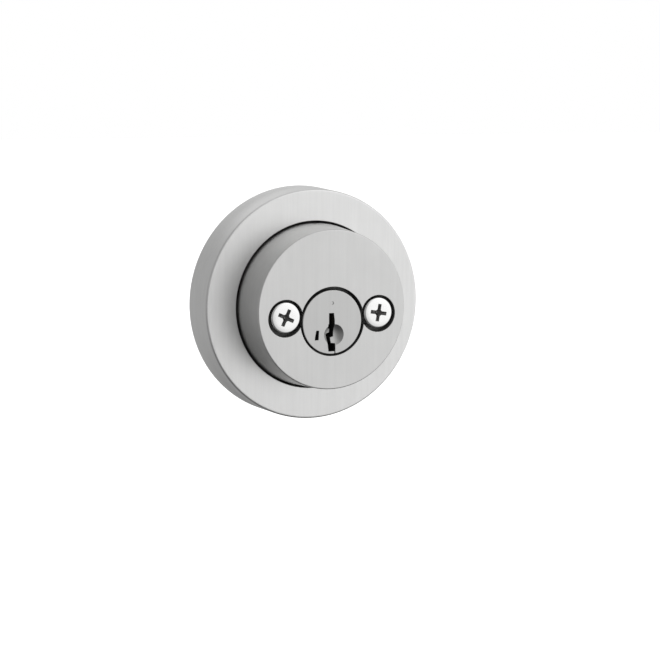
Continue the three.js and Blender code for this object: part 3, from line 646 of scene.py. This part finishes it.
SCREW_UNDER = SCREW_SEAT + 0.1
SCREW_LENGTH = 57.2
SCREW_END = SCREW_UNDER - SCREW_LENGTH
HEAD_RADIUS = 4.33
RECESS_RADIUS, RECESS_DEPTH = 2.6, 3
THREAD_TOP, THREAD_DEPTH, THREAD_PITCH = 3.0, 0.42, 0.794
for word, side, turn in (("left", -1, 25), ("right", 1, 10)):
    x = side * SCREW_X

    def recess_edge(at, x=x):
        return -at.y < SCREW_TOP - 0.25 and reach(at, x, SCREW_Z) < RECESS_RADIUS

    # The walls and floor of the cross recess take painted shade.
    def drive(at, normal, x=x):
        return (reach(at, x, SCREW_Z) < RECESS_RADIUS
                and SCREW_TOP - RECESS_DEPTH < -at.y < SCREW_TOP - 0.05)

    screw = lathe(
        [(0, SCREW_TOP), (3.0, SCREW_TOP - 0.03, 0.8), (4.1, SCREW_TOP - 0.2, 0.35),
         (HEAD_RADIUS, SCREW_TOP - 0.75, 0.3), (HEAD_RADIUS, SCREW_UNDER + 0.25, 0.1),
         (HEAD_RADIUS - 0.08, SCREW_UNDER, 0.08), (SHANK_RADIUS, SCREW_UNDER, 0.1),
         (SHANK_RADIUS, THREAD_TOP), (0, THREAD_TOP)],
        x=x, z=SCREW_Z, segments=FINE)
    shade(carve(screw, (), cross_recess(x, SCREW_Z, SCREW_TOP, turn)), edge=0.05,
          crisp=recess_edge)
    shank = threaded(SHANK_RADIUS, THREAD_DEPTH, THREAD_PITCH, SCREW_END, THREAD_TOP + 0.05,
                     x, SCREW_Z)
    shade(shank, smooth=30)
    join_meshes(screw, shank)
    finish_piece(screw, f"through_screw_{word}", f"mounting_screw_{word}", BRIGHT,
                 [(DRIVE_PAINTED_SHADE, drive)])

for i, (x, z) in enumerate(ROSE_SCREWS):
    head = 5.3
    screw = lathe(
        [(0, head - 1.5), (1.5, head - 1.5, 0.5), (2.2, head - 1, 0.4), (2.2, head, 0.08),
         (1.15, head, 0.05), (1.15, 10.2, 0.2), (0, 10.2)],
        x=x, z=z, segments=SMALL)
    slot_floor = head - 0.55
    slot = block((x - 3, x + 3), (head - 2, slot_floor), (z - 0.3, z + 0.3))
    shade(carve(screw, (), [slot]), edge=0.05, crisp=lambda at: -at.y > slot_floor - 0.02)
    finish_piece(screw, f"rose_fixing_{i + 1}", f"rose_screw_{i + 1}", ZINC)

for word, z in zip(("top", "bottom"), PLATE_SCREWS):
    screw = lathe(
        [(0, 0.15), (2.75, 0.15, 0.08), (1.1, 1.75, 0.1), (1.1, 7, 0.25), (0, 7)],
        z=z, segments=SMALL)
    slot_floor = 0.75
    slot = block((-3, 3), (-1, slot_floor), (z - 0.3, z + 0.3))
    shade(carve(screw, (), [slot]), edge=0.03, crisp=lambda at: -at.y > slot_floor - 0.02)
    finish_piece(screw, f"plate_fixing_{word}", f"plate_screw_{word}", ZINC)

# ---------------------------------------------------------------- lock cylinder body

body = lathe(
    [(BODY_BORE_RADIUS, BODY_BACK, 0.15), (BODY_RADIUS, BODY_BACK, 0.3),
     (BODY_RADIUS, BODY_FLANGE_BACK), (BODY_FLANGE_RADIUS, BODY_FLANGE_BACK, 0.2),
     (BODY_FLANGE_RADIUS, BODY_FLANGE_FRONT, 0.2), (BODY_RADIUS, BODY_FLANGE_FRONT),
     (BODY_RADIUS, BODY_FRONT, 0.4), (BODY_BORE_RADIUS, BODY_FRONT, 0.3)],
    segments=ROUND)
lug = block((-LUG_HALF_WIDTH, LUG_HALF_WIDTH), (BODY_FLANGE_BACK, BODY_FLANGE_FRONT),
            (12, LUG_REACH))
groove = block((-9.4, -8), (BODY_BACK - 1, BODY_FRONT - 0.9), (-1.15, 1.15))
notches = [rod(2.55, 1, 5, side * SCREW_X, SCREW_Z, SMALL) for side in (-1, 1)]


def body_flange(at):
    on_flange = BODY_FLANGE_BACK - 0.1 < -at.y < BODY_FLANGE_FRONT + 0.1
    return on_flange and reach(at, 0, 0) > BODY_RADIUS - 0.2


shade(carve(body, [lug], [groove, *notches]), edge=0.1, crisp=body_flange)
# The body's front, seen down the gap round the plug, takes painted shade.
finish_piece(body, "body_barrel", "cylinder_body", CAST,
             [(GAP_PAINTED_SHADE, lambda at, normal: -at.y > BODY_FRONT - 0.5)])

# ---------------------------------------------------------------- plug

PLUG_FLANGE = BODY_FRONT + 0.2
plug = lathe(
    [(0, PLUG_FACE), (PLUG_FACE_RADIUS, PLUG_FACE, 0.25), (PLUG_FACE_RADIUS, PLUG_FLANGE, 0.1),
     (PLUG_RADIUS, PLUG_FLANGE), (PLUG_RADIUS, CLIP_GROOVE_FRONT, 0.08),
     (CLIP_GROOVE_RADIUS, CLIP_GROOVE_FRONT), (CLIP_GROOVE_RADIUS, CLIP_GROOVE_BACK),
     (PLUG_RADIUS, CLIP_GROOVE_BACK, 0.08), (PLUG_RADIUS, PLUG_BACK, 0.25), (0, PLUG_BACK)],
    segments=ROUND)
dogs = [
    prism(sector(2.8, 6.4, at - DOG_HALF_ANGLE, at + DOG_HALF_ANGLE), -6.4, 0.5 + PLUG_BACK)
    for at in (0, 180)
]
dimple_ball = (DIMPLE_RADIUS ** 2 + DIMPLE_DEPTH ** 2) / (2 * DIMPLE_DEPTH)
keyway = prism(KEYWAY, 0.2, PLUG_FACE + 1)
slit = block((0.68, 0.95), (PLUG_FACE - 3, PLUG_FACE + 1), (-9.5, -7.9))
dimple = ball(dimple_ball, DIMPLE_X, PLUG_FACE + dimple_ball - DIMPLE_DEPTH, DIMPLE_Z,
              segments=DIMPLE_FACETS)
punched_dot = rod(0.45, PLUG_FACE - 0.25, PLUG_FACE + 2, 0, 5.2, SMALL)
tool_slot = prism(TOOL_SLOT, 20, PLUG_FACE + 1)
carrier_cavity = block((-9.5, -2.05), (-1.4, 20.2), (-4.9, 6.8))
spring_seat = rod(1.1, -3, -1.3, CARRIER_SPRING_X, CARRIER_SPRING_Z, SMALL)
cover_recess = block((PIN_X - 1.6, PIN_X + 1.6), (0.6, 19.6), (7.3, 9))
cuts = [keyway, slit, dimple, punched_dot, tool_slot, carrier_cavity, spring_seat, cover_recess]
for out in TUMBLER_OUT:
    chamber = lathe([(0, -1.9), (1.4, -1.9), (1.4, 7.4), (0, 7.4)], x=PIN_X, y=-out,
                    segments=SMALL, way=UPWARD)
    rack_window = block((-2.4, -1.4), (out - 0.7, out + 0.7), (-1.5, 6.6))
    cuts += [chamber, rack_window]
for z, _ in GUARD_PINS:
    guard_hole = lathe([(0, 2.2), (0.9, 2.2), (0.9, 9), (0, 9)], y=-GUARD_PIN_OUT, z=z,
                       segments=SMALL, way=ACROSS)
    cuts.append(guard_hole)
for side in (-1, 1):
    cap_screw_hole = rod(0.75, -7, -2.9, 0, side * CAP_SCREW_Z, SMALL)
    cuts.append(cap_screw_hole)


def plug_crisp_edge(at):
    """The keyway's edges, and the hidden ones."""
    return BODY_BACK < -at.y < 21 or (-2.2 < at.x < 1.5 and -8.3 < at.z < 2.7)


shade(carve(plug, dogs, cuts), edge=0.05, crisp=plug_crisp_edge)


def keyway_inside(at, normal):
    """The cut faces below the plug's face, in the keyway, the slit and the tool slot, which
    take painted deep shade.
    """
    near_axis = -5.3 < at.x < 1.05 and -8.9 < at.z < 2.7
    wall = abs(normal.y) < 0.3
    return near_axis and wall and 0.1 < -at.y < PLUG_FACE + 0.01


# The plug's rim, down in the gap round it, takes painted shade.
def plug_rim(at, normal):
    on_rim = PLUG_FLANGE - 0.1 < -at.y < PLUG_FACE - 0.2
    return on_rim and reach(at, 0, 0) > PLUG_FACE_RADIUS - 0.1


# The dimple's wall takes a darker copy of the plug's metal: painted shade.
def dimple_wall(at, normal):
    centre = Vector((DIMPLE_X, DIMPLE_DEPTH - PLUG_FACE - dimple_ball, DIMPLE_Z))
    return abs((at - centre).length - dimple_ball) < 0.03


finish_piece(plug, "plug_core", "plug", PLUG_METAL,
             [(DEEP_PAINTED_SHADE, keyway_inside), (GAP_PAINTED_SHADE, plug_rim), (DIMPLE_PAINTED_SHADE, dimple_wall)])

clip = prism(sector(7.6, 10.3, 230, 490, step=4), -2.6, -1.9)
shade(clip, edge=0.08)
finish_piece(clip, "retaining_ring", "plug_clip", SPRING)

cover = block((PIN_X - 1.45, PIN_X + 1.45), (0.75, 19.45), (7.4, 7.95))
shade(cover, edge=0.12, steps=3)
finish_piece(cover, "chamber_cover", "pin_cover", BRASS)

for i, (z, end) in enumerate(GUARD_PINS):
    pin = lathe([(0, 2.4), (0.75, 2.4, 0.2), (0.75, end, 0.2), (0, end)], y=-GUARD_PIN_OUT,
                z=z, segments=SMALL, way=ACROSS)
    shade(pin)
    finish_piece(pin, f"guard_pin_{i + 1}", f"drill_guard_pin_{i + 1}", SPRING)

# ---------------------------------------------------------------- tumblers

RACK_TEETH = 8


def rack_outline():
    left, right, bottom, top = -4.8, -2.45, -3.1, 2.6
    teeth = []
    for i in range(RACK_TEETH):
        z = bottom + 0.4 + i * (top - bottom - 0.8) / (RACK_TEETH - 1)
        teeth += [(right - 0.35, z - 0.18), (right, z), (right - 0.35, z + 0.18)]
    gate = left + 0.9
    return [
        (right - 0.4, bottom, 0.1), *teeth, (right - 0.4, top, 0.1), (left, top, 0.15),
        (left, 0.5, 0.08), (gate, 0.5, 0.08), (gate, -0.5, 0.08), (left, -0.5, 0.08),
        (left, -2.4, 0.08), (gate, -2.4, 0.08), (gate, bottom, 0.08),
    ]


for i, out in enumerate(TUMBLER_OUT):
    pin = lathe(
        [(0, -1.7), (0.6, -1.7, 0.15), (1.25, -1.1, 0.2), (1.25, 4.1, 0.1), (0.8, 4.1, 0.08),
         (0.8, -0.4, 0.2), (0, -0.4)],
        x=PIN_X, y=-out, segments=SMALL, way=UPWARD)
    shade(pin)
    finish_piece(pin, f"tumbler_pin_{i + 1}", f"key_pin_{i + 1}", BRASS)
    ends = (PIN_X, -out, -0.3), (PIN_X, -out, 7.32)
    spring = coil(*ends, *PIN_SPRING)
    shade(spring)
    finish_piece(spring, f"tumbler_coil_{i + 1}", f"pin_spring_{i + 1}", SPRING,
                 stretch=(f"key_pin_{i + 1}", "plug", *ends))
    rack = prism(rack_outline(), out - 0.7, out + 0.7, steps=2)
    shade(rack, edge=0.04)
    finish_piece(rack, f"toothed_rack_{i + 1}", f"rack_{i + 1}", BRASS)

# ---------------------------------------------------------------- rekey carrier

carrier = rod(CARRIER_RADIUS, CARRIER_BACK, CARRIER_FRONT, segments=CARRIER_FACETS)
middle_outs = [(TUMBLER_OUT[0] + TUMBLER_OUT[1]) / 2, (TUMBLER_OUT[3] + TUMBLER_OUT[4]) / 2]
rack_slots = [block((-5, -2), (out - 0.85, out + 0.85), (-3.3, 5.8)) for out in TUMBLER_OUT]
sidebar_slot = block((-9, -4.95), (1.3, 19), (-1.05, 1.05))
spring_seats = [
    lathe([(0, -5.2), (0.6, -5.2), (0.6, -3.7), (0, -3.7)], y=-out, segments=SMALL, way=ACROSS)
    for out in middle_outs
]
outer_box = block((-8.3, -2.25), (0.5, 20.1), (-4.7, 6.6))
carve(carrier, (), (), [outer_box])
shade(carve(carrier, (), [*rack_slots, sidebar_slot, *spring_seats]), edge=0.07)
finish_piece(carrier, "carrier_block", "rekey_carrier", CAST)

ends = [(CARRIER_SPRING_X, y, CARRIER_SPRING_Z) for y in (0.15 - CARRIER_BACK, 2.85)]
spring = coil(*ends, *CARRIER_SPRING)
shade(spring)
finish_piece(spring, "carrier_coil", "carrier_spring", SPRING,
             stretch=("carrier", "plug", *ends))

bar = prism(
    [(-8.05, -0.35, 0.15), (-7.5, -0.9, 0.15), (-6.6, -0.9, 0.1), (-6.6, 0.9, 0.1),
     (-7.5, 0.9, 0.15), (-8.05, 0.35, 0.15)],
    1.7, 18.6)
fins = [block((-6.8, -5.15), (out - 0.6, out + 0.6), (-0.32, 0.32)) for out in TUMBLER_OUT]
shade(carve(bar, fins), edge=0.05)
finish_piece(bar, "side_bar", "sidebar", BRASS)
for i, out in enumerate(middle_outs):
    ends = (-6.55, -out, 0), (-3.8, -out, 0)
    spring = coil(*ends, *SIDEBAR_SPRING)
    shade(spring)
    finish_piece(spring, f"side_bar_coil_{i + 1}", f"sidebar_spring_{i + 1}", SPRING,
                 stretch=("sidebar", "carrier", *ends))

# ---------------------------------------------------------------- tailpiece

hub = lathe([(0, -7.3), (2.55, -7.3, 0.25), (2.55, -4.3, 0.2), (0, -4.3)], segments=SMALL)
wings = [
    prism(sector(2.2, 5.4, at + WING_FROM, at + WING_FROM + WING_SPAN), -6.25, -4.3)
    for at in (0, 180)
]
blade_outline = [(-32, 2.4, 0.5), (-29.4, 3.1, 0.5), (-6.7, 3.1), (-6.7, -3.1),
                 (-29.4, -3.1, 0.5), (-32, -2.4, 0.5)]  # height and Z
bm = bmesh.new()
flat = softened(blade_outline, True, 3)
rings = [[bm.verts.new((x, -p.x, p.y)) for p in flat] for x in (-1.1, 1.1)]
blade = skin("blade", bm, rings)


def blade_root(at):
    return 7.2 < at.y < 7.4 and abs(at.x) < 1.2


shade(carve(hub, [*wings, blade]), edge=0.15, crisp=blade_root)
finish_piece(hub, "torque_blade", "tailpiece", BLADE)

cap = lathe([(3.5, -7.7, 0.15), (7, -7.7, 0.25), (7, -6.5, 0.2), (3.5, -6.5, 0.1)],
            segments=FINE)
shade(carve(cap, (), [rod(0.85, -9, -6, 0, side * CAP_SCREW_Z, SMALL) for side in (-1, 1)]),
      edge=0.06)
finish_piece(cap, "drive_cap", "tail_cap", ZINC)
for i, side in enumerate((1, -1)):
    z = side * CAP_SCREW_Z
    head = -7.8
    screw = lathe(
        [(0, head - 0.9), (0.9, head - 0.9, 0.2), (1.25, head - 0.5, 0.2), (1.25, head, 0.05),
         (0.6, head, 0.05), (0.6, -3.3, 0.1), (0, -3.3)],
        z=z, segments=SMALL)
    slot = block((-2, 2), (head - 2, head - 0.45), (z - 0.2, z + 0.2))
    shade(carve(screw, (), [slot]), edge=0.03)
    finish_piece(screw, f"cap_fixing_{i + 1}", f"cap_screw_{i + 1}", ZINC)

# ---------------------------------------------------------------- floor, light and camera
# Places and distances here are in metres.

FLOOR_Z = -0.16
bm = bmesh.new()
bmesh.ops.create_grid(bm, x_segments=8, y_segments=8, size=6)
for vertex in bm.verts:
    vertex.co.z = FLOOR_Z
floor_mesh = bpy.data.meshes.new("floor")
bm.to_mesh(floor_mesh)
bm.free()
floor = bpy.data.objects.new("floor", floor_mesh)
bpy.context.scene.collection.objects.link(floor)
paint = bpy.data.materials.new("floor_pale")
paint.use_nodes = True
paint_shader = paint.node_tree.nodes["Principled BSDF"]
paint_shader.inputs["Base Color"].default_value = (0.9, 0.9, 0.9, 1)
paint_shader.inputs["Roughness"].default_value = 0.9
paint_shader.inputs["Emission Color"].default_value = (1, 1, 1, 1)
paint_shader.inputs["Emission Strength"].default_value = 0.75
floor_mesh.materials.append(paint)
floor.visible_glossy = False
floor.visible_diffuse = False


def direction(azimuth, elevation):
    a, e = math.radians(azimuth), math.radians(elevation)
    return Vector((math.sin(a) * math.cos(e), -math.cos(a) * math.cos(e), math.sin(e)))


# Soft studio: each lobe is azimuth, elevation, inner and outer half angle, strength.
BASE_LIGHT = 0.36
LOBES = [
    (45, 5, 12, 62, 0.81),
    (20, 60, 5, 50, 0.4),
    (155, 35, 10, 50, 0.38),
    (-160, -5, 10, 50, 0.12),
    (-5, -75, 10, 85, -0.26),
]
world = bpy.data.worlds.new("studio")
bpy.context.scene.world = world
world.use_nodes = True
nodes, links = world.node_tree.nodes, world.node_tree.links
backdrop = nodes["Background"]
backdrop.inputs["Color"].default_value = (1, 1, 1, 1)
coords = nodes.new("ShaderNodeTexCoord")
total = None
for azimuth, elevation, inner, outer, strength in LOBES:
    dot = nodes.new("ShaderNodeVectorMath")
    dot.operation = "DOT_PRODUCT"
    dot.inputs[1].default_value = direction(azimuth, elevation)
    links.new(coords.outputs["Generated"], dot.inputs[0])
    ramp = nodes.new("ShaderNodeMapRange")
    ramp.interpolation_type = "SMOOTHSTEP"
    ramp.inputs["From Min"].default_value = math.cos(math.radians(outer))
    ramp.inputs["From Max"].default_value = math.cos(math.radians(inner))
    ramp.inputs["To Max"].default_value = strength
    links.new(dot.outputs["Value"], ramp.inputs["Value"])
    if total is None:
        total = ramp.outputs["Result"]
    else:
        add = nodes.new("ShaderNodeMath")
        add.operation = "ADD"
        links.new(total, add.inputs[0])
        links.new(ramp.outputs["Result"], add.inputs[1])
        total = add.outputs["Value"]
base = nodes.new("ShaderNodeMath")
base.operation = "ADD"
base.inputs[1].default_value = BASE_LIGHT
links.new(total, base.inputs[0])
seen = nodes.new("ShaderNodeLightPath")
pick = nodes.new("ShaderNodeMix")
pick.data_type = "FLOAT"
pick.inputs["B"].default_value = 1.0
links.new(seen.outputs["Is Camera Ray"], pick.inputs["Factor"])
links.new(base.outputs["Value"], pick.inputs["A"])
links.new(pick.outputs["Result"], backdrop.inputs["Strength"])

camera_data = bpy.data.cameras.new("camera")
camera = bpy.data.objects.new("camera", camera_data)
bpy.context.scene.collection.objects.link(camera)
bpy.context.scene.camera = camera
camera_data.sensor_width = 36
camera_data.lens = 96.34
camera_data.clip_start = 0.01
CAMERA_AZIMUTH, CAMERA_ELEVATION, CAMERA_ROLL = -23.7, 7.08, 0.18
CAMERA_DISTANCE, AIM_RIGHT, AIM_DOWN = 0.5022, 0.00943, 0.0086
back = direction(CAMERA_AZIMUTH, CAMERA_ELEVATION)
turn = math.radians(CAMERA_AZIMUTH)
right = Vector((math.cos(turn), math.sin(turn), 0))
up = back.cross(right)
pivot = Vector((0, 0, ROSE_Z)) * MM
camera.location = pivot + back * CAMERA_DISTANCE
aim = pivot + right * AIM_RIGHT - up * AIM_DOWN
camera.rotation_mode = "QUATERNION"
roll = Quaternion((0, 0, 1), math.radians(CAMERA_ROLL))
camera.rotation_quaternion = (aim - camera.location).to_track_quat("-Z", "Y") @ roll

bpy.context.scene.view_settings.view_transform = "Standard"
